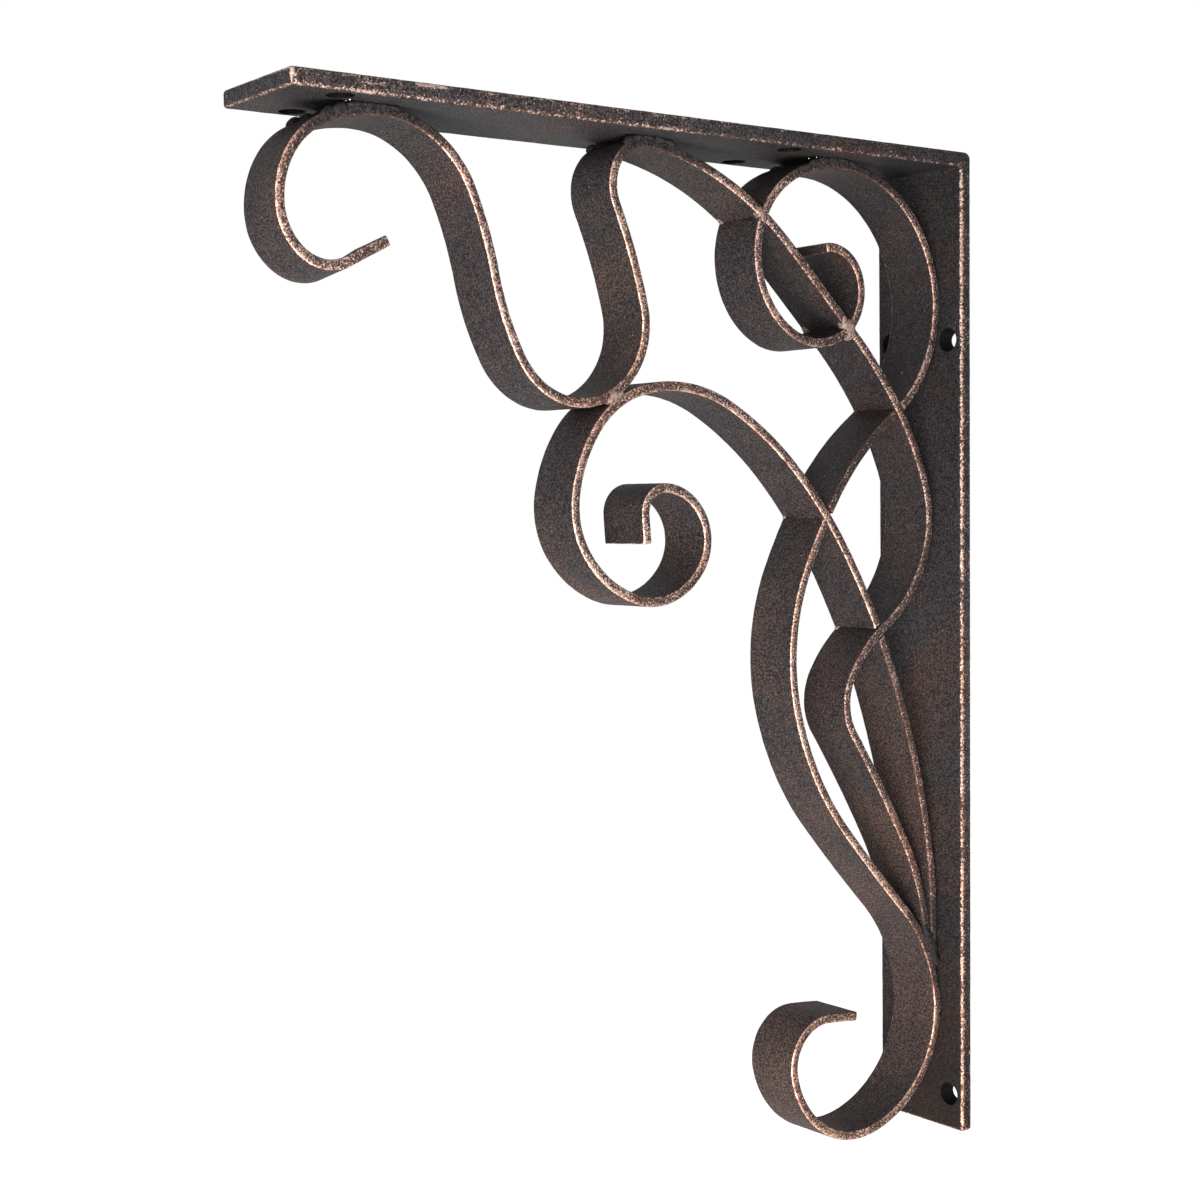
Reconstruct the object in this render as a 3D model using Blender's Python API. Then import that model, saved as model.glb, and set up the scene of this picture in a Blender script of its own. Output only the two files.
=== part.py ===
"""Bar bracket: a flat bar bent square, braced by scrolls of narrower flat bar.

The origin is on the wall face at mid height. +X goes into the wall, the
bracket reaches out along -X, and the load rests on the top face, +Z.
Every piece is centred on y = 0.
"""
import math

import bmesh
import bpy

MM = 0.001

# Angle frame
TALL = 330.2 * MM
REACH = 254.0 * MM
PLATE_WIDE = 38.1 * MM
PLATE_THICK = 5.0 * MM
OUTER_BEND = 2.4 * MM
INNER_BEND = 0.8 * MM
HOLE_RADIUS = 3.75 * MM
HOLE_FROM_MIDDLE = 13.0 * MM
ARM_HOLES_X = (-236.0 * MM, -76.0 * MM)
WALL_HOLES_Z = (104.0 * MM, -153.0 * MM)

# Scroll bars
BAR_WIDE = 19.5 * MM
BAR_THICK = 3.0 * MM
GAP = 0.3 * MM
FACET = math.radians(4.0)
LONGEST_FACET = 12.0

# Bending schedules: a start point and heading, then one (length in mm, turn
# in degrees) for each straight or bend. A minus turn is clockwise as seen
# from the near side, with the arm reaching left.
BAR_A = dict(
    start=(-220.4, 124.0), heading=-153.2,
    moves=[(13.7, 0.0), (13.1, -58.9), (15.0, -52.8), (14.9, -34.6), (14.5, -36.6),
           (20.7, -28.2), (34.3, -62.4), (23.4, -11.6), (24.7, 17.2), (32.3, 76.0),
           (18.0, 41.9), (18.7, 46.4), (30.4, 11.2), (11.9, -48.2), (16.5, -74.6),
           (62.4, -34.6), (40.8, -1.1), (30.0, -11.9), (28.2, -16.2), (20.6, -34.8),
           (32.1, -40.9), (22.7, 26.8), (20.3, 65.4), (44.8, -5.4), (33.2, -20.5)])
BAR_B = dict(
    start=(-56.78, 131.7), heading=9.4,
    moves=[(22.0, -96.2), (17.0, -60.4), (21.3, -54.6), (20.7, -44.0), (21.2, -44.4),
           (19.5, -39.0), (22.8, -31.4), (24.1, -30.8), (30.4, -39.2), (29.2, -41.9),
           (28.4, -33.0), (38.9, 22.7), (24.4, 7.5), (46.8, 39.1), (45.3, 26.7),
           (41.8, 3.6), (34.5, -36.2), (30.1, -48.3), (27.2, -38.9), (22.9, -44.4),
           (23.9, -44.6), (17.4, -69.4), (9.1, -35.9), (12.6, -4.4)])
BAR_C = dict(
    start=(-131.7, 39.8), heading=94.1,
    moves=[(8.3, 0.0), (12.5, -94.8), (18.5, -61.7), (16.2, -62.7), (27.7, -70.2),
           (23.6, -40.2), (20.3, -45.3), (19.4, -24.8), (23.4, -42.8), (34.9, -39.8),
           (38.0, -18.2), (29.4, -10.6), (47.0, -10.8), (55.7, -11.3), (42.0, -13.7)])


def follow(bar):
    """Walks a bending schedule. Gives stations (distance, x, z, heading)."""
    x, z = bar["start"]
    heading = math.radians(bar["heading"])
    run = 0.0
    stations = [(run, x, z, heading)]
    for length, turn in bar["moves"]:
        turn = math.radians(turn)
        steps = max(math.ceil(abs(turn) / FACET), math.ceil(length / LONGEST_FACET))
        for i in range(steps):
            step, bend = length / steps, turn / steps
            chord = step if bend == 0 else 2 * step / bend * math.sin(bend / 2)
            x += chord * math.cos(heading + bend / 2)
            z += chord * math.sin(heading + bend / 2)
            heading += bend
            run += step
            stations.append((run, x, z, heading))
    return stations


def crossings(one, other):
    """Where two bars' centrelines cross, as (distance on one, distance on other)."""
    found = []
    for (r0, x0, z0, _), (r1, x1, z1, _) in zip(one, one[1:]):
        for (s0, u0, w0, _), (s1, u1, w1, _) in zip(other, other[1:]):
            ax, az, bx, bz = x1 - x0, z1 - z0, u1 - u0, w1 - w0
            det = ax * bz - az * bx
            if abs(det) < 1e-9:
                continue
            f = ((u0 - x0) * bz - (w0 - z0) * bx) / det
            g = ((u0 - x0) * az - (w0 - z0) * ax) / det
            if 0 <= f < 1 and 0 <= g < 1:
                found.append((r0 + f * (r1 - r0), s0 + g * (s1 - s0)))
    return found


def stretch(stations, start, end):
    """The stations of one bar between two distances along it."""
    def at(run):
        for (r0, x0, z0, h0), (r1, x1, z1, h1) in zip(stations, stations[1:]):
            if r0 <= run <= r1:
                f = (run - r0) / (r1 - r0)
                return run, x0 + f * (x1 - x0), z0 + f * (z1 - z0), h0 + f * (h1 - h0)
    inside = [s for s in stations if start + 0.4 < s[0] < end - 0.4]
    return [at(start)] + inside + [at(end)]


def prism(name, outline, wide):
    """A closed solid with an outline in X and Z (metres), centred on y = 0."""
    work = bmesh.new()
    near = [work.verts.new((x, -wide / 2, z)) for x, z in outline]
    far = [work.verts.new((x, wide / 2, z)) for x, z in outline]
    count = len(outline)
    for i in range(count):
        j = (i + 1) % count
        work.faces.new((near[i], near[j], far[j], far[i]))
    return work, near, far


def finish(name, work):
    bmesh.ops.recalc_face_normals(work, faces=work.faces)
    mesh = bpy.data.meshes.new(name)
    work.to_mesh(mesh)
    work.free()
    obj = bpy.data.objects.new(name, mesh)
    bpy.context.collection.objects.link(obj)
    return obj


def flat_bar(name, stations, thick, wide):
    """A rectangular bar whose centreline follows the stations (in mm)."""
    half = thick / 2
    left = [(x * MM - half * math.sin(h), z * MM + half * math.cos(h)) for _, x, z, h in stations]
    right = [(x * MM + half * math.sin(h), z * MM - half * math.cos(h)) for _, x, z, h in stations]
    work, near, far = prism(name, left + right[::-1], wide)
    last = 2 * len(stations) - 1
    for i in range(len(stations) - 1):
        work.faces.new((near[i], near[i + 1], near[last - i - 1], near[last - i]))
        work.faces.new((far[i + 1], far[i], far[last - i], far[last - i - 1]))
    return finish(name, work)


def cutter(name, stations):
    """A hidden bar one gap fatter all round, to cut a neighbour's end to fit."""
    obj = flat_bar(name, stations, BAR_THICK + 2 * GAP, BAR_WIDE * 2)
    obj.hide_render = True
    obj.display_type = "WIRE"
    return obj


def hole(name, x, y, z, along_x):
    bpy.ops.mesh.primitive_cylinder_add(vertices=32, radius=HOLE_RADIUS, depth=4 * PLATE_THICK,
                                        location=(x, y, z),
                                        rotation=(0, math.pi / 2, 0) if along_x else (0, 0, 0))
    obj = bpy.context.object
    obj.name = name
    obj.hide_render = True
    obj.display_type = "WIRE"
    return obj


def cut(obj, tool):
    step = obj.modifiers.new("cut " + tool.name, "BOOLEAN")
    step.operation = "DIFFERENCE"
    step.solver = "EXACT"
    step.object = tool


def corner(x, z, radius, start, sweep, steps):
    """Points of a rounded corner about (x, z), angles in degrees."""
    return [(x + radius * math.cos(math.radians(start + sweep * i / steps)),
             z + radius * math.sin(math.radians(start + sweep * i / steps)))
            for i in range(steps + 1)]


def finish_material(obj, name, colour, rough):
    material = bpy.data.materials.new(name)
    material.use_nodes = True
    shader = material.node_tree.nodes["Principled BSDF"]
    shader.inputs["Base Color"].default_value = (*colour, 1)
    shader.inputs["Metallic"].default_value = 0.6
    shader.inputs["Roughness"].default_value = rough
    obj.data.materials.append(material)


for old in list(bpy.data.objects):
    bpy.data.objects.remove(old, do_unlink=True)

# Angle frame: the outline of the bent bar, then eight screw holes
top, foot = TALL / 2, -TALL / 2
outline = ([(-REACH, top - PLATE_THICK), (-REACH, top)]
           + corner(-OUTER_BEND, top - OUTER_BEND, OUTER_BEND, 90, -90, 6)
           + [(0, foot), (-PLATE_THICK, foot)]
           + corner(-PLATE_THICK - INNER_BEND, top - PLATE_THICK - INNER_BEND, INNER_BEND, 0, 90, 4))
work, near, far = prism("angle_frame", outline, PLATE_WIDE)
work.faces.new(near)
work.faces.new(far[::-1])
angle_frame = finish("angle_frame", work)
for side in (-1, 1):
    y = side * HOLE_FROM_MIDDLE
    for x in ARM_HOLES_X:
        cut(angle_frame, hole("arm screw hole", x, y, top - PLATE_THICK / 2, False))
    for z in WALL_HOLES_Z:
        cut(angle_frame, hole("wall screw hole", -PLATE_THICK / 2, y, z, True))

# The three scroll bars and where they cross
a, b, c = follow(BAR_A), follow(BAR_B), follow(BAR_C)
(enter_a, enter_b), (leave_a, leave_b), (cross_a, cross_b) = crossings(a, b)
lower_a, lower_c = crossings(a, c)[0]
middle_c, middle_b = crossings(c, b)[0]
end_a, end_b, end_c = a[-1][0], b[-1][0], c[-1][0]
REST = 12.0

pieces = {
    "front_scroll": (a, 0, enter_a),
    "loop_link": (a, enter_a, leave_a),
    "waved_stay": (a, leave_a, end_a),
    "upper_spiral": (b, 0, cross_b),
    "cross_link": (b, cross_b, middle_b),
    "lower_scroll": (b, middle_b, end_b),
    "middle_spiral": (c, 0, lower_c),
    "lower_stay": (c, lower_c, end_c),
}
solids = {name: flat_bar(name, stretch(*run), BAR_THICK, BAR_WIDE) for name, run in pieces.items()}

tools = {
    "upper spiral at the arm": (b, enter_b - REST, enter_b + REST),
    "upper spiral below": (b, leave_b - REST, leave_b + REST),
    "waved stay at the spiral": (a, cross_a - REST, cross_a + REST),
    "waved stay at the middle": (a, lower_a - REST, lower_a + REST),
    "middle spiral": (c, middle_c - REST, middle_c + REST),
    "lower scroll at the foot": (b, end_b - 205, end_b - 125),
    "waved stay at the foot": (a, end_a - 40, end_a),
}
tools = {name: cutter(name, stretch(*run)) for name, run in tools.items()}
for name, tool in (("front_scroll", "upper spiral at the arm"),
                   ("loop_link", "upper spiral at the arm"),
                   ("loop_link", "upper spiral below"),
                   ("waved_stay", "upper spiral below"),
                   ("waved_stay", "lower scroll at the foot"),
                   ("upper_spiral", "waved stay at the spiral"),
                   ("cross_link", "waved stay at the spiral"),
                   ("cross_link", "middle spiral"),
                   ("lower_scroll", "middle spiral"),
                   ("middle_spiral", "waved stay at the middle"),
                   ("lower_stay", "waved stay at the middle"),
                   ("lower_stay", "lower scroll at the foot"),
                   ("lower_stay", "waved stay at the foot")):
    cut(solids[name], tools[tool])

finish_material(angle_frame, "angle_frame", (0.045, 0.036, 0.034), 0.5)
for name, obj in solids.items():
    finish_material(obj, name, (0.052, 0.040, 0.036), 0.5)
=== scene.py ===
"""Bar bracket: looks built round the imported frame.

Lengths in the bending schedules are in millimetres, because that is how a smith
sets them out. Everything handed to Blender is in metres.
"""
import math

import bpy
from mathutils import Matrix, Vector
from mathutils.kdtree import KDTree


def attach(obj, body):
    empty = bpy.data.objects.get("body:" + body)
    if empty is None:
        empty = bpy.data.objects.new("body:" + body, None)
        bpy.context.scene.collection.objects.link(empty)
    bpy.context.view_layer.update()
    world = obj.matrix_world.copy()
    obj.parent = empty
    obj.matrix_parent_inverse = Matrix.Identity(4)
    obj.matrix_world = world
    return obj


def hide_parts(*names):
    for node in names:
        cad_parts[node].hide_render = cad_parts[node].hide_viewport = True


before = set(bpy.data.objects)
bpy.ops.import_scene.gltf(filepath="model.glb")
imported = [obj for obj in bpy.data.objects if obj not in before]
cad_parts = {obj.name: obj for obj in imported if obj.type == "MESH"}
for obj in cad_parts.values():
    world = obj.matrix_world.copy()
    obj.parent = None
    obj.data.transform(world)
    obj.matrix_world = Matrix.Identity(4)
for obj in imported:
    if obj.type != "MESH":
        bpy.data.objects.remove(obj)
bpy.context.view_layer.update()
MM = 0.001


# ---- Studio -----------------------------------------------------------------
# A pale floor well below the bracket, a pale surround and soft lights. The
# camera stands where the photograph was taken from, a little below the arm.
def linear(hexcode):
    """An sRGB hex value as a linear colour with alpha."""
    parts = [int(hexcode[i:i + 2], 16) / 255 for i in (1, 3, 5)]
    return (*[p / 12.92 if p <= 0.04045 else ((p + 0.055) / 1.055) ** 2.4 for p in parts], 1)


def add_node(tree, kind, settings=(), links=()):
    """Adds one node to a tree, sets its values and links what feeds it."""
    node = tree.nodes.new(kind)
    for key, value in dict(settings).items():
        if isinstance(key, int) or key in node.inputs:
            node.inputs[key].default_value = value
        else:
            setattr(node, key, value)
    for key, source in dict(links).items():
        tree.links.new(source, node.inputs[key])
    return node


def bare_material(name):
    """A new material with only its output node. Gives (material, tree, output)."""
    material = bpy.data.materials.new(name)
    material.use_nodes = True
    tree = material.node_tree
    tree.nodes.clear()
    return material, tree, tree.nodes.new("ShaderNodeOutputMaterial")


scene = bpy.context.scene
scene.view_settings.view_transform = "Standard"

world = bpy.data.worlds.new("pale surround")
scene.world = world
world.use_nodes = True
world.node_tree.nodes["Background"].inputs["Color"].default_value = linear("#ffffff")
world.node_tree.nodes["Background"].inputs["Strength"].default_value = 1.0

FLOOR_HEIGHT = -0.42
bpy.ops.object.select_all(action="DESELECT")
bpy.ops.mesh.primitive_grid_add(x_subdivisions=8, y_subdivisions=8, size=24, location=(0, 0, FLOOR_HEIGHT))
floor = bpy.context.object
floor.name = "floor"
material, tree, output = bare_material("matt white floor paint")
floor_shader = add_node(tree, "ShaderNodeBsdfPrincipled", {
    "Base Color": linear("#ffffff"), "Roughness": 1.0, "Specular IOR Level": 0.0})
tree.links.new(floor_shader.outputs[0], output.inputs[0])
floor.data.materials.append(material)


def soft_light(name, place, aim, size, watts, colour):
    """A square softbox at a place, facing a point."""
    data = bpy.data.lights.new(name, "AREA")
    data.shape = "SQUARE"
    data.size = size
    data.energy = watts
    data.color = linear(colour)[:3]
    lamp = bpy.data.objects.new(name, data)
    scene.collection.objects.link(lamp)
    lamp.location = place
    lamp.rotation_euler = (Vector(aim) - Vector(place)).to_track_quat("-Z", "Y").to_euler()
    lamp.visible_camera = False


MIDDLE = (-0.11, 0, 0.02)
soft_light("key", (-1.3, -1.05, 0.0), MIDDLE, 0.5, 23, "#fff3ea")
soft_light("low", (-0.5, -0.4, -0.34), MIDDLE, 0.35, 14, "#fff3ea")
soft_light("top", (-0.3, 0.5, 1.4), MIDDLE, 0.8, 4, "#f4f8ff")

lens = bpy.data.cameras.new("camera")
camera = bpy.data.objects.new("camera", lens)
scene.collection.objects.link(camera)
scene.camera = camera
CAMERA_PLACE = (-0.50434, -0.47175, 0.05509)
CAMERA_YAW, CAMERA_PITCH, CAMERA_ROLL = -0.6353, -0.07807, 0.01706
turn = (Matrix.Rotation(CAMERA_YAW, 4, "Z") @ Matrix.Rotation(math.pi / 2 + CAMERA_PITCH, 4, "X")
        @ Matrix.Rotation(-CAMERA_ROLL, 4, "Z"))
camera.matrix_world = Matrix.Translation(CAMERA_PLACE) @ turn
lens.sensor_width = 36
lens.lens = 59.292
lens.shift_x = 0.03
lens.shift_y = 0.04
lens.clip_start, lens.clip_end = 0.01, 60


# ---- Angle frame ------------------------------------------------------------
# Flat steel bar 38 by 5 mm, bent square, with a rubbed bronze coat over it. The
# arm and the wall plate each have two pairs of screw holes.
TALL, REACH = 330.2 * MM, 254.0 * MM
PLATE_WIDE, PLATE_THICK = 38.1 * MM, 5.0 * MM
TOP = TALL / 2
OUTER_BEND, INNER_BEND = 2.4 * MM, 0.8 * MM
PLATE_ARRIS = 1.0 * MM
HOLE_RADIUS, HOLE_FROM_MIDDLE, HOLE_RIM = 3.75 * MM, 13.0 * MM, 0.25 * MM
# Radius at the wall of the wall plate's holes, which let little of the wall be seen
WALL_HOLE_BACK = 2.4 * MM
ARM_HOLES_X = (-236.0 * MM, -76.0 * MM)
WALL_HOLES_Z = (104.0 * MM, -153.0 * MM)


def start_piece(name):
    """Names the object just added, puts its place into its mesh and opens it for editing."""
    piece = bpy.context.object
    piece.name = name
    piece.data.name = name
    bpy.ops.object.transform_apply(location=True, rotation=True, scale=True)
    bpy.ops.object.mode_set(mode="EDIT")
    return piece


def pick(piece, kind, wanted):
    """Selects exactly the edges or faces whose corners are wanted."""
    bpy.ops.mesh.select_mode(type=kind)
    bpy.ops.mesh.select_all(action="DESELECT")
    bpy.ops.object.mode_set(mode="OBJECT")
    places = [v.co for v in piece.data.vertices]
    for item in piece.data.edges if kind == "EDGE" else piece.data.polygons:
        item.select = wanted([places[i] for i in item.vertices])
    bpy.ops.object.mode_set(mode="EDIT")


SAME = 0.01 * MM


def near(a, b):
    """Whether two lengths are the same, to a hundredth of a millimetre."""
    return abs(a - b) < SAME


bpy.ops.object.select_all(action="DESELECT")
bpy.ops.mesh.primitive_cube_add(size=1, location=(-REACH / 2, 0, TOP - PLATE_THICK / 2),
                                scale=(REACH, PLATE_WIDE, PLATE_THICK))
plate = start_piece("angle_plate")
bpy.ops.mesh.select_all(action="SELECT")
bpy.ops.mesh.bisect(plane_co=(-PLATE_THICK, 0, 0), plane_no=(1, 0, 0))
pick(plate, "FACE", lambda c: all(near(p.z, TOP - PLATE_THICK) and p.x > -PLATE_THICK - SAME for p in c))
bpy.ops.mesh.extrude_region_move(TRANSFORM_OT_translate={"value": (0, 0, -(TALL - PLATE_THICK))})
pick(plate, "EDGE", lambda c: all(near(p.x, 0) and near(p.z, TOP) for p in c))
bpy.ops.mesh.bevel(offset=OUTER_BEND, offset_type="OFFSET", segments=6, affect="EDGES")
pick(plate, "EDGE", lambda c: all(near(p.x, -PLATE_THICK) and near(p.z, TOP - PLATE_THICK) for p in c))
bpy.ops.mesh.bevel(offset=INNER_BEND, offset_type="OFFSET", segments=4, affect="EDGES")
bpy.ops.mesh.select_all(action="SELECT")
bpy.ops.mesh.dissolve_limited(angle_limit=math.radians(1))
pick(plate, "EDGE", lambda c: all(near(abs(p.y), PLATE_WIDE / 2) for p in c) and near(c[0].y, c[1].y)
     or near(abs(c[0].y - c[1].y), PLATE_WIDE) and (near(c[0].x, -REACH) or near(c[0].z, -TOP)))
bpy.ops.mesh.bevel(offset=PLATE_ARRIS, offset_type="OFFSET", segments=3, affect="EDGES")

# A fine even net on both legs, so that the surface can be made slightly uneven.
# Each round of cuts is (axis, shortest edge that is cut, number of cuts)
BEND_ROOM = 8 * MM
for place, facing in (((-BEND_ROOM, 0, 0), (1, 0, 0)), ((0, 0, TOP - BEND_ROOM), (0, 0, 1))):
    bpy.ops.mesh.select_all(action="SELECT")
    bpy.ops.mesh.bisect(plane_co=place, plane_no=facing)
for axis, shortest, cuts in ((1, 30, 23), (0, 200, 15), (2, 300, 17), (0, 10, 15), (2, 10, 17)):
    pick(plate, "EDGE", lambda c: abs(c[0][axis] - c[1][axis]) > shortest * MM)
    bpy.ops.mesh.subdivide(number_cuts=cuts)
SIDE_HEIGHT = PLATE_THICK - 2 * PLATE_ARRIS
for axis, other, clear in ((2, 0, -BEND_ROOM), (0, 2, TOP - BEND_ROOM)):
    pick(plate, "EDGE", lambda c: near(abs(c[0][axis] - c[1][axis]), SIDE_HEIGHT)
         and all(p[other] < clear + SAME for p in c))
    bpy.ops.mesh.subdivide(number_cuts=2)
bpy.ops.object.mode_set(mode="OBJECT")

# The screw holes, each with a slightly rounded rim at both mouths. A rim is three
# rings: (how far it rises, how far it spreads), as shares of the rim's size
RIM_RINGS = ((0.6, 0.16), (0.4, 0.84), (1.0, 0.6))
drills = []
for side in (-1, 1):
    y = side * HOLE_FROM_MIDDLE
    for place, turn in ([((x, y, TOP - PLATE_THICK / 2), (0, 0, 0)) for x in ARM_HOLES_X]
                        + [((-PLATE_THICK / 2, y, z), (0, math.pi / 2, 0)) for z in WALL_HOLES_Z]):
        bpy.ops.object.select_all(action="DESELECT")
        back = HOLE_RADIUS if place[2] > TOP - PLATE_THICK else WALL_HOLE_BACK
        bpy.ops.mesh.primitive_cone_add(vertices=48, depth=PLATE_THICK - 2 * HOLE_RIM,
                                        radius1=HOLE_RADIUS, radius2=back)
        drill = bpy.context.object
        bpy.ops.object.mode_set(mode="EDIT")
        pick(drill, "EDGE", lambda c: not near(c[0].z, c[1].z))
        bpy.ops.mesh.subdivide(number_cuts=4)
        for way in (1, -1):
            for rise, spread in RIM_RINGS:
                pick(drill, "FACE", lambda c: len(c) > 8 and c[0].z * way > 0)
                bpy.ops.mesh.extrude_region_move(
                    TRANSFORM_OT_translate={"value": (0, 0, way * rise * HOLE_RIM)})
                grown = 1 + spread * HOLE_RIM / HOLE_RADIUS
                bpy.ops.transform.resize(value=(grown, grown, 1))
        bpy.ops.object.mode_set(mode="OBJECT")
        drill.location, drill.rotation_euler = place, turn
        drills.append(drill)
bpy.ops.object.select_all(action="DESELECT")
for drill in drills:
    drill.select_set(True)
bpy.context.view_layer.objects.active = drills[0]
bpy.ops.object.transform_apply(location=True, rotation=True, scale=True)
bpy.ops.object.join()
drill = drills[0]


def apply_modifier(piece, kind, **settings):
    """Adds a modifier, sets it and applies it."""
    bpy.ops.object.select_all(action="DESELECT")
    piece.select_set(True)
    bpy.context.view_layer.objects.active = piece
    step = piece.modifiers.new(kind, kind)
    for key, value in settings.items():
        setattr(step, key, value)
    bpy.ops.object.modifier_apply(modifier=step.name)


apply_modifier(plate, "BOOLEAN", operation="DIFFERENCE", solver="EXACT", object=drill)
bpy.data.objects.remove(drill, do_unlink=True)


# A screw hole's wall is painted near-black as shade, and the ring at its mouth is worn, whichever way they
# look
BORE_SHADE, HOLE_MOUTH = -1, 0.9
# Faces that turn by more than this many degrees meet in an arris
ARRIS_ANGLE = 28
# How deep a narrow side's wear goes round the arris, and over what length it fades
SIDE_DEPTH, SIDE_FADE = 0.5 * MM, 0.35 * MM
FARTHEST_GAP = 20 * MM


def note_wear_and_light(piece, line, side):
    """Stores on every vertex what its wear depends on.

    The coat is rubbed through to copper along the arrises that look outwards, and
    more thinly on the narrow sides. That line is also a painted highlight: it is made
    strongest on arrises that face the lamps. So each vertex gets its distance from the
    nearest arris, how strong that arris's line is, and how rubbed a narrow side is,
    which in the bores and under the arm is painted shade instead. Line and side are
    functions that give the most that either gets at a place.
    """
    mesh = piece.data
    facing = [[] for _ in mesh.vertices]
    for face in mesh.polygons:
        for i in face.vertices:
            facing[i].append(face.normal)
    sharp = math.cos(math.radians(ARRIS_ANGLE))
    on_arris = [any(one.dot(group[0]) < sharp or one.dot(group[-1]) < sharp for one in group)
                for group in facing]
    tree = KDTree(sum(on_arris))
    for i, vertex in enumerate(mesh.vertices):
        if on_arris[i]:
            tree.insert(vertex.co, i)
    tree.balance()
    outermost = max(abs(v.co.y) for v in mesh.vertices)
    gaps, lines, sides = (mesh.attributes.new(name, "FLOAT", "POINT")
                          for name in ("arris_gap", "arris_rub_and_light", "side_rub_and_shade"))
    for i, vertex in enumerate(mesh.vertices):
        nearest, distance = (i, 0) if on_arris[i] else tree.find(vertex.co)[1:]
        normal = mesh.vertices[nearest].normal
        on_side = min(max((abs(vertex.co.y) - outermost + SIDE_DEPTH) / SIDE_FADE, 0), 1)
        # Wear reaches three times as far over a narrow side as over a broad face
        gaps.data[i].value = min(distance * (3 - 2 * on_side), FARTHEST_GAP)
        # Painted highlight: an arris gets the most copper line where it looks away from the wall, toward the
        # key lamp, and then downwards, toward the low lamp
        painted_highlight_facing = min(max(0.45 - 0.8 * normal.x - 0.25 * normal.z, 0.25), 1)
        lines.data[i].value = painted_highlight_facing * line(vertex.co)
        rub = side(vertex.co)
        sides.data[i].value = rub if rub in (BORE_SHADE, HOLE_MOUTH) else on_side * rub


def make_uneven(piece, lump, height, level):
    """Makes the surface slightly uneven, as a thick coat over rolled bar is.

    Lumps of one size push it in and out by a height. The level is the share of
    that height which goes inwards.
    """
    texture = bpy.data.textures.new(piece.name, "CLOUDS")
    texture.noise_scale = lump
    texture.noise_depth = 2
    apply_modifier(piece, "DISPLACE", texture=texture, texture_coords="LOCAL", strength=height,
                   mid_level=level)


def finish_piece(piece, material, node=None):
    """Smooth shading, the finish, and the piece's place in the frame."""
    bpy.ops.object.select_all(action="DESELECT")
    piece.select_set(True)
    bpy.context.view_layer.objects.active = piece
    bpy.ops.object.shade_smooth_by_angle(angle=math.radians(50))
    piece.data.materials.clear()
    piece.data.materials.append(material)
    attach(piece, "root")
    if node:
        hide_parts(node)


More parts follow.
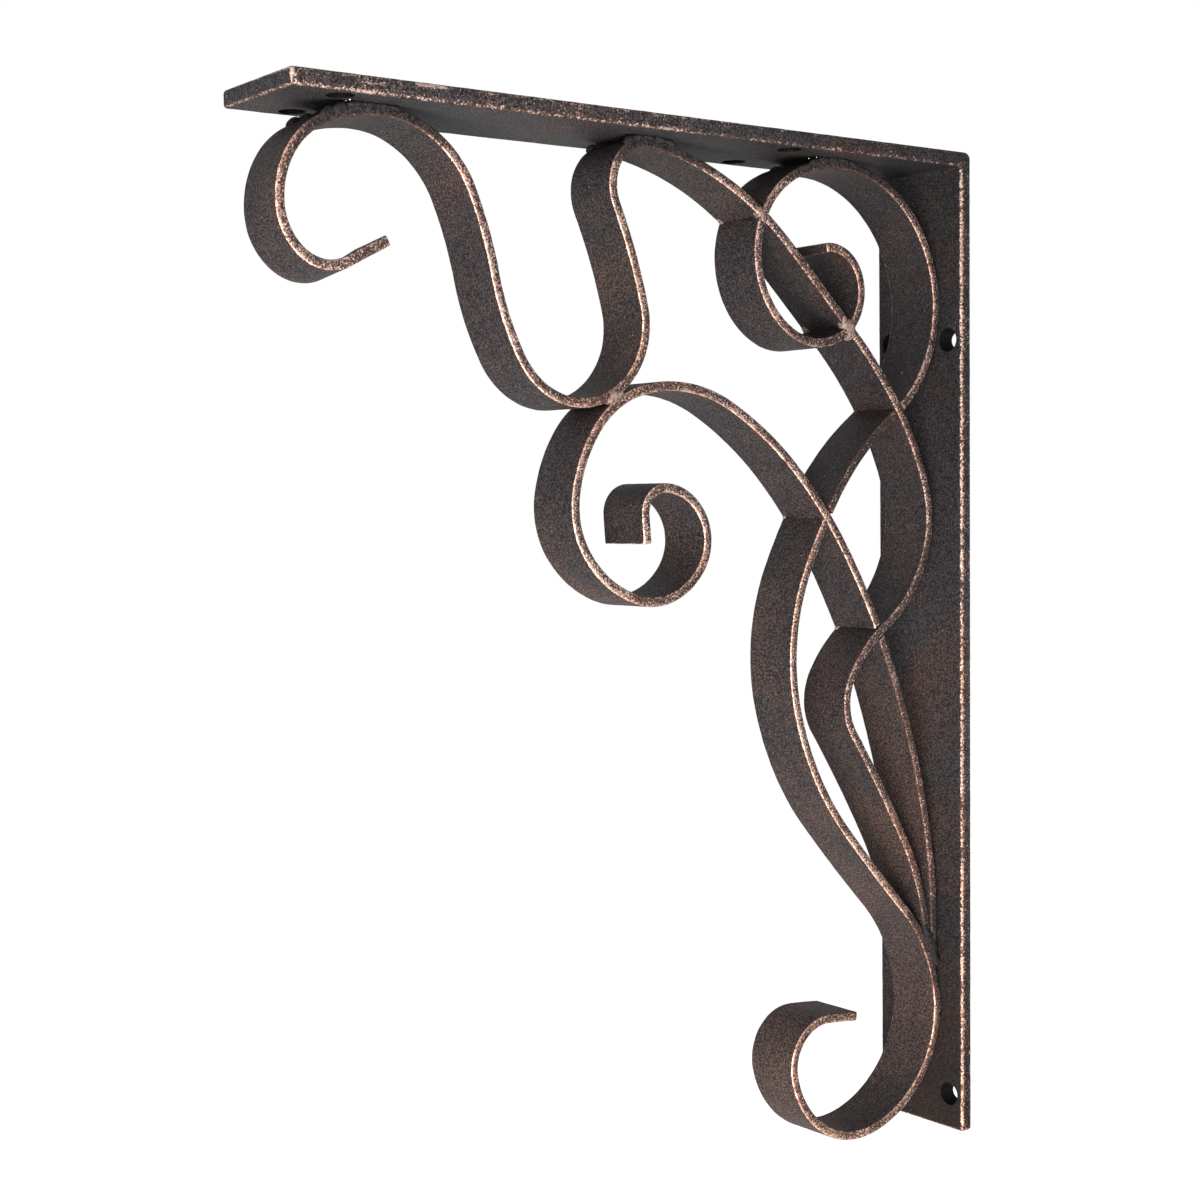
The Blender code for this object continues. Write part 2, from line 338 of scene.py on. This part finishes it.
def rubbed_bronze(name, grain_colour, line_colour, on_frame=False):
    """Dark bronze powder coat, rubbed back at the arrises to show copper.

    Sprayed and baked, so it has a sandy grain of 0.3 to 0.6 mm. Rubbing first
    thins it to brown, then leaves bare copper in specks and in a ragged line. On
    the frame the line is more ragged, with specks beside it, and the foot is darker
    with painted shade. Painted shade also darkens the inner corner and the bores,
    and the lower parts are lighter and browner with painted light from below.
    """
    material, tree, output = bare_material(name)
    place = add_node(tree, "ShaderNodeTexCoord").outputs["Object"]

    def number(operation, first, second, third=None):
        """A Math node: a socket or a plain number in each place."""
        given = {i: v for i, v in enumerate((first, second, third)) if v is not None}
        plain = {i: v for i, v in given.items() if isinstance(v, (int, float))}
        return add_node(tree, "ShaderNodeMath", {"operation": operation, **plain},
                        {i: v for i, v in given.items() if i not in plain}).outputs[0]

    def spread(source, low, high, start=0.0, end=1.0):
        """Maps low..high to start..end, and holds it there."""
        return add_node(tree, "ShaderNodeMapRange", {1: low, 2: high, 3: start, 4: end},
                        {0: source}).outputs[0]

    def noise(size, detail, rough=0.6):
        """A noise whose lumps are about this size in millimetres."""
        settings = {"Scale": 1 / (size * MM), "Detail": detail, "Roughness": rough}
        return add_node(tree, "ShaderNodeTexNoise", settings, {"Vector": place}).outputs["Fac"]

    def blend(share, first, second):
        """A colour between two, each a hex value or a socket."""
        ends = {6: first, 7: second}
        plain = {i: linear(v) for i, v in ends.items() if isinstance(v, str)}
        return add_node(tree, "ShaderNodeMix", {"data_type": "RGBA", **plain},
                        {0: share, **{i: v for i, v in ends.items() if i not in plain}}).outputs[2]

    gap, line_rub_and_light, side_rub_and_shade = (add_node(tree, "ShaderNodeAttribute", {"attribute_name": word}).outputs["Fac"]
                               for word in ("arris_gap", "arris_rub_and_light", "side_rub_and_shade"))
    sand, flecks, beads = noise(0.6, 2), noise(0.7, 2, 0.8), noise(1.9, 2)
    mottle, clouds, drifts = noise(2.6, 3), noise(7, 3), noise(38, 2)

    # The coat: near-black, bluer or browner in drifts, mottled, with lighter grains
    reach, _, height = add_node(tree, "ShaderNodeSeparateXYZ", (), {0: place}).outputs
    # Painted light from below: lower down the coat is browner, with more light grains
    warmth_and_painted_underlight = number("ADD", drifts, spread(height, -80 * MM, 60 * MM, 0.1, -0.06))
    coat = blend(spread(warmth_and_painted_underlight, 0.4, 0.7), "#090b13", "#181112")
    coat = blend(spread(mottle, 0.4, 0.6, 0.0, 0.6), coat, "#191a1a")
    grain = number("MULTIPLY", spread(sand, 0.42, 0.68), spread(warmth_and_painted_underlight, 0.45, 0.75, 0.32, 0.44))
    if on_frame:
        grain = number("MULTIPLY", grain, 0.8)
    coat = blend(grain, coat, blend(spread(warmth_and_painted_underlight, 0.45, 0.7), grain_colour, "#6f5a52"))

    # Wear and painted highlight: a ragged copper line at each arris, strongest where
    # it faces the lamps, specks on the narrow sides, and next to none on the broad
    # faces. The line swings in and out by a few millimetres, and the shift keeps a
    # wider swing about the same middle
    swing, shift = (3.6, 0.7) if on_frame else (2.2, 0.0)
    ragged = number("MULTIPLY_ADD", beads, swing * MM, number("MULTIPLY_ADD", flecks, 1.8 * MM, gap))
    band = spread(ragged, (1.9 + shift) * MM, (2.7 + shift) * MM, 1.0, 0.0)
    line = number("MULTIPLY", band, line_rub_and_light)
    level = number("ADD", flecks, spread(clouds, 0.3, 0.7, -0.06, 0.06))
    if on_frame:
        line = number("MULTIPLY", line, spread(flecks, 0.38, 0.55, 0.3, 1.0))
        beside = spread(ragged, (2.2 + shift) * MM, (3.5 + shift) * MM, 1.0, 0.0)
        level = number("MULTIPLY_ADD", number("MULTIPLY", beside, line_rub_and_light), 0.22, level)
    on_side = number("MULTIPLY", side_rub_and_shade, number("MULTIPLY_ADD", line_rub_and_light, 0.45, 0.62))
    level = number("MULTIPLY_ADD", on_side, 0.22, number("MULTIPLY_ADD", band, 0.09, level))
    specks, halo = spread(level, 0.72, 0.79), spread(level, 0.63, 0.73)
    shine = spread(line, 0.4, 0.75)
    bare = number("MAXIMUM", specks, shine)
    thinned = number("MAXIMUM", halo, spread(line, 0.05, 0.3))
    copper = blend(spread(warmth_and_painted_underlight, 0.42, 0.62), "#8f7d77", "#86624f")
    copper = blend(spread(sand, 0.45, 0.62), copper, "#b9a59c")
    edge = blend(spread(line, 0.5, 1.0), "#7c594b", line_colour)
    edge = blend(spread(sand, 0.36, 0.52, 0.8, 0.0), edge, "#5f3f33")

    # Painted shade: darkest in the inner corner under the arm, at the frame's foot and in the bores
    painted_corner_shade = number("MULTIPLY", spread(reach, -95 * MM, -35 * MM),
                       spread(height, 10 * MM, 90 * MM, 0.0, 0.35))
    coat = blend(painted_corner_shade, coat, "#05060a")
    # Painted shade: the frame darkens towards its foot
    if on_frame:
        coat = blend(spread(height, -150 * MM, -40 * MM, 0.7, 0.0), coat, "#060606")
    # Painted shade: the bores are near-black
    coat = blend(spread(side_rub_and_shade, -0.8, -0.1, 1.0, 0.0), coat, "#020203")
    colour = blend(thinned, coat, "#3a2b26")
    colour = blend(specks, colour, copper)
    colour = blend(shine, colour, edge)

    bumps = add_node(tree, "ShaderNodeBump", {"Strength": 0.8, "Distance": 0.3 * MM},
                     {"Height": number("ADD", sand, flecks)}).outputs[0]
    shader = add_node(tree, "ShaderNodeBsdfPrincipled", {"Specular IOR Level": 0.08}, {
        "Base Color": colour,
        "Metallic": spread(bare, 0.0, 1.0, 0.0, 0.7),
        "Roughness": number("MULTIPLY_ADD", flecks, 0.16, spread(bare, 0.0, 1.0, 0.55, 0.32)),
        "Normal": bumps})
    tree.links.new(shader.outputs[0], output.inputs[0])
    return material


def hole_gap(place):
    """How far a place is outside the wall of the nearest screw hole."""
    in_plate = place.z < TOP - 2 * PLATE_THICK
    along, holes = (place.z, WALL_HOLES_Z) if in_plate else (place.x, ARM_HOLES_X)
    return min(math.hypot(abs(place.y) - HOLE_FROM_MIDDLE, along - hole) for hole in holes) - HOLE_RADIUS


def on_arm(place, at_tip, at_wall, below):
    """A value that goes from tip to wall along the arm, and another on the wall plate."""
    if place.z < TOP - PLATE_THICK - MM:
        return below
    return at_wall + (at_tip - at_wall) * min(max(-place.x / REACH, 0), 1)


# Where the near side of the arm is scuffed bare: from x to x at a height z, in
# millimetres. A scuff reaches SCUFF_HALF above and below that height
SCUFFS = ((-232.5, -225.5, 163.2), (-216.5, -207.0, 164.0))
SCUFF_HALF, SCUFF_RUB = 0.8, 1.5
# How far from a hole's wall its rim, its bore and the ring at its mouth reach
RIM_REACH, RIM_RUB = 1.2 * MM, 0.15
BORE_REACH, MOUTH_REACH = 0.12 * MM, 0.2 * MM


def plate_line(place):
    """The most an arris is rubbed: hardly at a hole's rim, which is an arris too."""
    return RIM_RUB if hole_gap(place) < RIM_REACH else on_arm(place, at_tip=0.66, at_wall=0.42, below=0.76)


def plate_side(place):
    """The most a narrow side is rubbed. Bores are painted near-black as shade, with a rubbed ring at the
    mouth.
    """
    gap = hole_gap(place)
    if gap < MOUTH_REACH:
        return BORE_SHADE if gap < BORE_REACH else HOLE_MOUTH
    x, z = place.x / MM, place.z / MM
    on_scuff = any(low < x < high and abs(z - middle) < SCUFF_HALF for low, high, middle in SCUFFS)
    return SCUFF_RUB if on_scuff and place.y < 0 else on_arm(place, at_tip=0.55, at_wall=0.2, below=0.45)


note_wear_and_light(plate, plate_line, plate_side)
make_uneven(plate, lump=4 * MM, height=0.12 * MM, level=0.9)
frame_coat = rubbed_bronze("rubbed bronze coat on the frame", "#666362", "#dcc3b4", on_frame=True)
finish_piece(plate, frame_coat, "angle_frame")


# ---- Scroll bars ------------------------------------------------------------
# Flat steel bar 19.5 by 3 mm with rolled arrises, bent cold to a schedule. Each
# schedule starts at a point and heading, then gives (length, turn) for each bend.
BAR_WIDE = 19.5
# Where the section is divided across its 3 mm and its width, how far its corners are
# taken in, and the length of one facet along the bar
ACROSS_THICKNESS = (-1.5, -1.0, -0.4, 0.4, 1.0, 1.5)
HALF_WIDTH = (1.5, 3.0, 4.6, 6.2, 7.6, 8.6, 9.25, 9.75)
ACROSS_WIDTH = (*(-v for v in reversed(HALF_WIDTH)), 0, *HALF_WIDTH)
CORNER_IN = 0.16
STEP = 1.0
# A filed end: each round is (how far its edge goes in, how far it stands out)
FILED_END = ((0.08, 0.16), (0.24, 0.08))
END_FACE, SAWN_STRETCH = 12 * MM, 16 * MM


def bend_bar(name, start, heading, moves, cuts, sideways=0.0):
    """Bends one bar to its schedule and dresses its ends.

    A cut is (x, z, angle): the end is sawn there, square to that angle. Where a
    cut is None the end is free, and its edges are filed slightly round.
    """
    x, z = start
    angle = math.radians(heading)
    columns, rows = len(ACROSS_THICKNESS) - 1, len(ACROSS_WIDTH) - 1
    bpy.ops.object.select_all(action="DESELECT")
    bpy.ops.mesh.primitive_grid_add(x_subdivisions=columns, y_subdivisions=rows, size=1)
    section = bpy.context.object
    for vertex in section.data.vertices:
        i, j = round((vertex.co.x + 0.5) * columns), round((vertex.co.y + 0.5) * rows)
        u, v = ACROSS_THICKNESS[i], ACROSS_WIDTH[j]
        if i in (0, columns) and j in (0, rows):
            u, v = u - math.copysign(CORNER_IN, u), v - math.copysign(CORNER_IN, v)
        vertex.co = (u * MM, (v + sideways) * MM, 0)
    section.rotation_euler = (0, math.pi / 2 - angle, 0)
    section.location = (x * MM, 0, z * MM)
    bar = start_piece(name)
    bpy.ops.mesh.select_all(action="SELECT")
    first = (Vector((x, 0, z)) * MM, Vector((math.cos(angle), 0, math.sin(angle))))
    for length, turn in moves:
        steps = max(2, round(length / STEP))
        turn = math.radians(turn)
        if abs(turn) < 1e-6:
            for _ in range(steps):
                way = Vector((math.cos(angle), 0, math.sin(angle))) * (length / steps * MM)
                bpy.ops.mesh.extrude_region_move(TRANSFORM_OT_translate={"value": way})
            x, z = x + length * math.cos(angle), z + length * math.sin(angle)
            continue
        radius = length / turn
        middle_x, middle_z = x - radius * math.sin(angle), z + radius * math.cos(angle)
        bpy.ops.mesh.spin(steps=steps, angle=turn, center=(middle_x * MM, 0, middle_z * MM), axis=(0, 1, 0))
        angle += turn
        x, z = middle_x + radius * math.sin(angle), middle_z - radius * math.cos(angle)
    last = (Vector((x, 0, z)) * MM, Vector((math.cos(angle), 0, math.sin(angle))))
    bpy.ops.mesh.select_all(action="SELECT")
    bpy.ops.mesh.remove_doubles(threshold=1e-6)
    bpy.ops.mesh.normals_make_consistent(inside=False)
    for (place, way), cut in zip((first, last), cuts):
        if cut is None:
            pick(bar, "FACE", lambda c: all(abs((p - place).dot(way)) < SAME and (p - place).length < END_FACE
                                            for p in c))
            for thickness, depth in FILED_END:
                bpy.ops.mesh.inset(thickness=thickness * MM, depth=depth * MM)
        else:
            cut_x, cut_z, cut_angle = cut
            pick(bar, "FACE", lambda c: all((p - place).length < SAWN_STRETCH for p in c))
            square = (math.cos(math.radians(cut_angle)), 0, math.sin(math.radians(cut_angle)))
            bpy.ops.mesh.bisect(plane_co=(cut_x * MM, 0, cut_z * MM), plane_no=square,
                                use_fill=True, clear_outer=True)
    bpy.ops.object.mode_set(mode="OBJECT")
    return bar


bar_coat = rubbed_bronze("rubbed bronze coat on the scrolls", "#5f5551", "#dcbaa8")


def lean(bar, x, z, reach, shift_x, shift_z):
    """Shifts the far edge near a place, where bending left the bar slightly twisted."""
    for vertex in bar.data.vertices:
        share = max(0, 1 - math.hypot(vertex.co.x - x * MM, vertex.co.z - z * MM) / (reach * MM))
        share *= vertex.co.y / (BAR_WIDE * MM) + 0.5
        vertex.co.x += shift_x * MM * share
        vertex.co.z += shift_z * MM * share


# Where two bars cross, and where the stays end: (x, z) in millimetres
JOINTS = ((-83.6, 140.2), (-46.8, 106.7), (-24.2, 80.7), (-57.2, 46.0), (-33.8, 7.6), (-13.6, -96.1),
          (-10.0, -102.9))
JOINT_REACH, JOINT_RUB = 4, 0.1
# Painted shade: less copper under the arm, above a height; also less copper near the foot's weld
FOOT_X, FOOT_Z, FOOT_REACH = -8, -102, 20
UNDER_ARM_FROM = 150
LESS_COPPER_FADE = 6


def painted_arm_shade_and_foot_fade(place):
    """Painted shade under the arm, and less copper near the foot's weld: how much copper is taken away, from
    0 to 1.
    """
    x, z = place.x / MM, place.z / MM
    under_arm = min(max((z - UNDER_ARM_FROM) / LESS_COPPER_FADE, 0), 1)
    by_foot = min(max((FOOT_REACH - math.hypot(x - FOOT_X, z - FOOT_Z)) / LESS_COPPER_FADE, 0), 1)
    return max(0.9 * under_arm, 0.6 * by_foot)


def bar_line(place, most):
    """The most an arris is rubbed: little in the joints, less near the foot's weld, and less under the arm as
    painted shade.
    """
    on_broad_face = abs(place.y) < (BAR_WIDE / 2 - 0.8) * MM
    in_joint = on_broad_face and any(math.hypot(place.x / MM - x, place.z / MM - z) < JOINT_REACH
                                     for x, z in JOINTS)
    return JOINT_RUB if in_joint else most * (1 - 0.6 * painted_arm_shade_and_foot_fade(place))


def place_bar(node, start, heading, moves, cuts, sideways=0.0, line=1.0, leaning=None):
    """Bends, wears and coats one bar, and puts it in place of its node."""
    bar = bend_bar(node + "_bar", start, heading, moves, cuts, sideways)
    if leaning:
        lean(bar, *leaning)
    note_wear_and_light(bar, lambda place: bar_line(place, line), lambda place: 1 - painted_arm_shade_and_foot_fade(place))
    make_uneven(bar, lump=4 * MM, height=0.14 * MM, level=0.5)
    finish_piece(bar, bar_coat, node)


# ---- First bar: front scroll, loop link and waved stay ------------------------
# One long bar from the front curl through the deep U to the foot. It is parted
# twice where the round loop crosses it, and its end is dressed against the foot.
place_bar("front_scroll", (-220.4, 124.0), -153.2,
          [(13.7, 0.0), (13.1, -58.9), (15.0, -52.8), (14.9, -34.6), (14.5, -36.6), (20.7, -28.2),
           (34.3, -62.4), (23.4, -11.6), (24.7, 17.2), (32.3, 76.0), (18.0, 41.9), (18.7, 46.4),
           (30.4, 11.2), (11.9, -48.2), (16.5, -74.6), (51.41, -28.5)],
          (None, (-85.1, 140.9, -25.5)), leaning=(-232, 128, 34, 2.4, -2.6))
place_bar("loop_link", (-86.06, 141.88), -33.58,
          [(16.99, -9.42), (38.81, -1.05)],
          ((-82.1, 139.5, 154.5), (-47.9, 108.0, -47.5)), line=0.5)
place_bar("waved_stay", (-48.92, 108.8), -43.88,
          [(7.99, -0.22), (30.0, -11.9), (28.2, -16.2), (20.6, -34.8), (32.1, -40.9), (22.7, 26.8),
           (20.3, 65.4), (44.8, -5.4), (33.2, -20.5)],
          ((-45.6, 105.4, 132.5), (-13.57, -96.14, -148.6)), line=0.55)


# ---- Second bar: upper spiral, cross link and lower scroll --------------------
# Starts inside the round loop, rests against the arm and the wall plate, and ends
# in the curl at the foot. It is parted at the two crossings in the middle.
place_bar("upper_spiral", (-56.78, 131.7), 9.4,
          [(22.0, -96.2), (17.0, -60.4), (21.3, -54.6), (20.7, -44.0), (21.2, -44.4), (19.5, -39.0),
           (22.8, -31.4), (24.1, -30.8), (30.4, -39.2), (29.2, -41.9), (27.37, -31.81)],
          (None, (-22.6, 81.8, -145.8)), sideways=-0.12, line=0.7)
place_bar("cross_link", (-21.94, 82.64), -137.33,
          [(7.03, -8.17), (38.9, 22.7), (8.32, 2.56)],
          ((-25.36, 79.89, 34.2), (-55.1, 47.6, -142.0)), sideways=0.15, line=0.5)
place_bar("lower_scroll", (-55.59, 48.57), -122.09,
          [(22.08, 6.79), (46.8, 39.1), (45.3, 26.7), (41.8, 3.6), (34.5, -36.2), (30.1, -48.3),
           (27.2, -38.9), (22.9, -44.4), (23.9, -44.6), (17.4, -69.4), (9.1, -35.9), (12.6, -4.4)],
          ((-58.26, 45.16, 38.0), None), sideways=-0.08)


# ---- Third bar: middle spiral and lower stay ----------------------------------
# Curls under the deep U, then runs down to the foot beside the waved stay. It is
# parted where the waved stay crosses it.
place_bar("middle_spiral", (-131.7, 39.8), 94.1,
          [(8.3, 0.0), (12.5, -94.8), (18.5, -61.7), (16.2, -62.7), (27.7, -70.2), (23.6, -40.2),
           (20.3, -45.3), (19.4, -24.8), (23.4, -42.8), (34.9, -39.8), (38.0, -18.2), (29.4, -10.6),
           (34.2, -7.86)],
          (None, (-35.3, 9.6, -53.3)), sideways=-0.05)
place_bar("lower_stay", (-35.14, 10.29), -63.48,
          [(18.8, -4.32), (55.7, -11.3), (42.0, -13.7)],
          ((-32.6, 6.0, 126.7), (-10.04, -102.92, -156.4)), sideways=0.1, line=0.55)


# ---- Welds --------------------------------------------------------------------
# Small nuggets and fillets of weld metal that hold the bars to each other and to
# the frame. The fillets against the frame were never rubbed, so they stay dark. Each
# stroke is (x, z, along, across, turn), in millimetres and degrees.
WELD_LUMPS = 1400.0  # per metre, so lumps of about 0.7 mm


def weld_metal(name, low, high, metal):
    """Bronze coat over weld metal: lumpy, without the bars' sand, mottled low to high."""
    material, tree, output = bare_material(name)
    place = add_node(tree, "ShaderNodeTexCoord").outputs["Object"]
    lumps = add_node(tree, "ShaderNodeTexNoise", {"Scale": WELD_LUMPS, "Detail": 4.0, "Roughness": 0.7},
                     {"Vector": place}).outputs["Fac"]
    share = add_node(tree, "ShaderNodeMapRange", {1: 0.38, 2: 0.6}, {0: lumps}).outputs[0]
    colour = add_node(tree, "ShaderNodeMix", {"data_type": "RGBA", 6: linear(low), 7: linear(high)},
                      {0: share}).outputs[2]
    bumps = add_node(tree, "ShaderNodeBump", {"Strength": 0.7, "Distance": 0.3 * MM},
                     {"Height": lumps}).outputs[0]
    shader = add_node(tree, "ShaderNodeBsdfPrincipled",
                      {"Specular IOR Level": 0.05, "Metallic": metal, "Roughness": 0.55},
                      {"Base Color": colour, "Normal": bumps})
    tree.links.new(shader.outputs[0], output.inputs[0])
    return material


rubbed_weld = weld_metal("rubbed bronze coat on weld metal", "#463b37", "#82726b", 0.45)
coated_weld = weld_metal("dark bronze coat on weld metal", "#0e0f12", "#262628", 0.0)
# How far a bar's side is from the middle, and how finely a weld is modelled
SIDE_FACE = BAR_WIDE / 2
WELD_GRAIN = 0.35


def lay_weld(name, strokes, rise, sink, material, sides=(-1, 1)):
    """Runs overlapping strokes of weld metal on the near side and the far side.

    Each stroke stands out from the bar's side by the rise and goes in by the sink.
    """
    for side in sides:
        blobs = []
        for x, z, along, across, turn in strokes:
            bpy.ops.object.select_all(action="DESELECT")
            bpy.ops.mesh.primitive_uv_sphere_add(
                segments=24, ring_count=16, radius=MM,
                location=(x * MM, side * (SIDE_FACE - sink) * MM, z * MM),
                rotation=(0, -math.radians(turn), 0), scale=(along, rise + sink, across))
            blobs.append(bpy.context.object)
        for blob in blobs:
            blob.select_set(True)
        bpy.context.view_layer.objects.active = blobs[0]
        bpy.ops.object.join()
        bpy.ops.object.transform_apply(location=True, rotation=True, scale=True)
        weld = bpy.context.object
        weld.name = weld.data.name = name + ("_near" if side < 0 else "_far")
        apply_modifier(weld, "REMESH", mode="VOXEL", voxel_size=WELD_GRAIN * MM)
        apply_modifier(weld, "SMOOTH", factor=0.6, iterations=4)
        make_uneven(weld, lump=1.2 * MM, height=0.25 * MM, level=0.5)
        finish_piece(weld, material)


lay_weld("weld_front_scroll_to_spiral",
         [(-85.2, 141.2, 2.2, 1.7, -30), (-84.0, 139.5, 1.7, 2.5, 12)], 0.6, 1.2, rubbed_weld)
lay_weld("weld_loop_link_to_spiral",
         [(-49.0, 108.3, 1.5, 3.4, 22), (-46.5, 105.9, 2.6, 3.4, -20), (-46.9, 107.6, 2.6, 2.2, 0)],
         0.7, 1.3, rubbed_weld)
lay_weld("weld_deep_bend_to_middle_spiral",
         [(-143.3, 83.4, 2.5, 2.2, 0), (-141.4, 84.2, 1.7, 1.4, 20), (-144.9, 82.2, 1.5, 1.4, 0)],
         0.9, 1.2, rubbed_weld)

# The fillets run where a bar lies against the arm or the wall plate
for name, node, strokes in (
        ("weld_front_scroll_to_arm", "front_scroll",
         [(-238.2, 156.4, 2.5, 1.3, 38), (-234.0, 158.0, 2.5, 1.3, 20), (-229.5, 159.2, 2.6, 1.1, 8),
          (-225.0, 159.6, 2.6, 0.9, 0), (-220.5, 159.6, 2.5, 0.9, 0), (-216.8, 159.4, 2.0, 0.9, -6)]),
        ("weld_tight_bend_to_arm", "front_scroll",
         [(-136.6, 158.4, 2.1, 1.1, 32), (-133.0, 159.4, 2.4, 1.0, 10), (-128.8, 159.7, 2.5, 0.9, 0),
          (-124.5, 159.4, 2.5, 1.0, -10), (-120.6, 158.6, 2.3, 1.0, -18)]),
        ("weld_upper_spiral_to_arm", "upper_spiral",
         [(-62.0, 158.2, 2.3, 1.0, 22), (-58.0, 159.3, 2.5, 0.9, 8), (-53.6, 159.7, 2.5, 0.9, 0),
          (-49.2, 159.6, 2.5, 0.9, -4), (-45.2, 158.9, 2.2, 1.0, -16)]),
        ("weld_upper_spiral_to_wall_plate", "upper_spiral",
         [(-5.9, 120.2, 2.3, 0.9, 94), (-5.6, 116.0, 2.5, 0.8, 90), (-5.8, 111.8, 2.5, 0.9, 86),
          (-6.8, 107.8, 2.3, 1.1, 76)]),
        ("weld_lower_scroll_to_wall_plate", "lower_scroll",
         [(-6.0, -118.6, 2.2, 0.9, 95), (-5.6, -122.6, 2.5, 0.8, 90), (-6.0, -126.8, 2.2, 0.9, 84)])):
    lay_weld(name, strokes, 0.6, 0.6, coated_weld)

lay_weld("weld_stays_to_lower_scroll",
         [(-12.4, -95.0, 2.6, 1.5, 112), (-10.8, -98.2, 3.0, 2.6, 112), (-8.9, -102.0, 3.0, 2.8, 106),
          (-7.6, -106.4, 3.2, 1.9, 100)], 0.7, 1.3, coated_weld)

# Three joints are welded on the far side alone
for name, node, x, z in (("weld_cross_link_to_stay", "cross_link", -24.2, 80.7),
                         ("weld_cross_link_to_middle_spiral", "cross_link", -57.2, 46.0),
                         ("weld_lower_stay_to_waved_stay", "lower_stay", -33.8, 7.6)):
    lay_weld(name, [(x - 0.7, z + 0.6, 1.8, 1.5, 30), (x + 0.6, z - 0.6, 1.7, 1.6, -40)],
             0.5, 0.8, rubbed_weld, sides=(1,))

# A few beads of spatter were left bare and shine in the shade under the arm. Each
# is (x, y, radius), and a third of it is sunk in the coat
ARM_UNDERSIDE = 160.14
bpy.ops.object.select_all(action="DESELECT")
beads = []
for x, y, radius in ((-231.53, -8.26, 0.24), (-231.65, -10.51, 0.28), (-60.14, -5.15, 0.36),
                     (-59.26, -7.82, 0.33), (-58.5, -8.71, 0.22), (-57.78, -9.63, 0.26)):
    bpy.ops.mesh.primitive_ico_sphere_add(subdivisions=3, radius=radius * MM,
                                          location=(x * MM, y * MM, (ARM_UNDERSIDE - 0.35 * radius) * MM))
    beads.append(bpy.context.object)
for bead in beads:
    bead.select_set(True)
bpy.ops.object.join()
bpy.ops.object.transform_apply(location=True, rotation=True, scale=True)
spatter = bpy.context.object
spatter.name = spatter.data.name = "weld_spatter"
bare_steel, tree, output = bare_material("bare bright steel spatter")
steel = add_node(tree, "ShaderNodeBsdfPrincipled",
                 {"Base Color": linear("#cfc9c4"), "Metallic": 0.9, "Roughness": 0.25})
tree.links.new(steel.outputs[0], output.inputs[0])
finish_piece(spatter, bare_steel)
